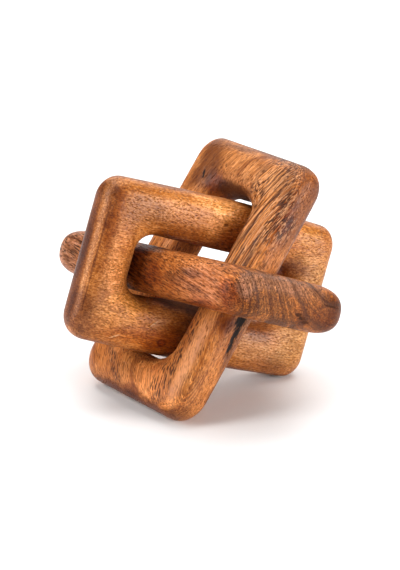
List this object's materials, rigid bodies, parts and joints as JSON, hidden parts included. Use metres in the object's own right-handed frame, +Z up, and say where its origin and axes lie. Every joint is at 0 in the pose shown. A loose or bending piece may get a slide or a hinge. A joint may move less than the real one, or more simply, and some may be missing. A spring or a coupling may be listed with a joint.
{
  "type": "wooden link knot ornament",
  "caption": "Tabletop knot of closed rounded rectangular wooden links, each passing through the next one's slot-shaped hole, for show and for handling.",
  "frame": {"origin": "on the table, under the middle of the knot's bounding box", "axes": "+Z up from the table; +Y away from the viewer, who sees the broad link's hole and the corner of the level link; +X to the viewer's right"},
  "size_m": [0.143, 0.1408, 0.1194],
  "materials": {
    "golden_wood": "waxed, satin sheen",
    "streaked_wood": "waxed, satin sheen",
    "red_brown_wood": "waxed, satin sheen"
  },
  "bodies": {
    "root": {"broad_link": "golden_wood", "tall_link": "streaked_wood", "level_link": "red_brown_wood"}
  },
  "joints": []
}
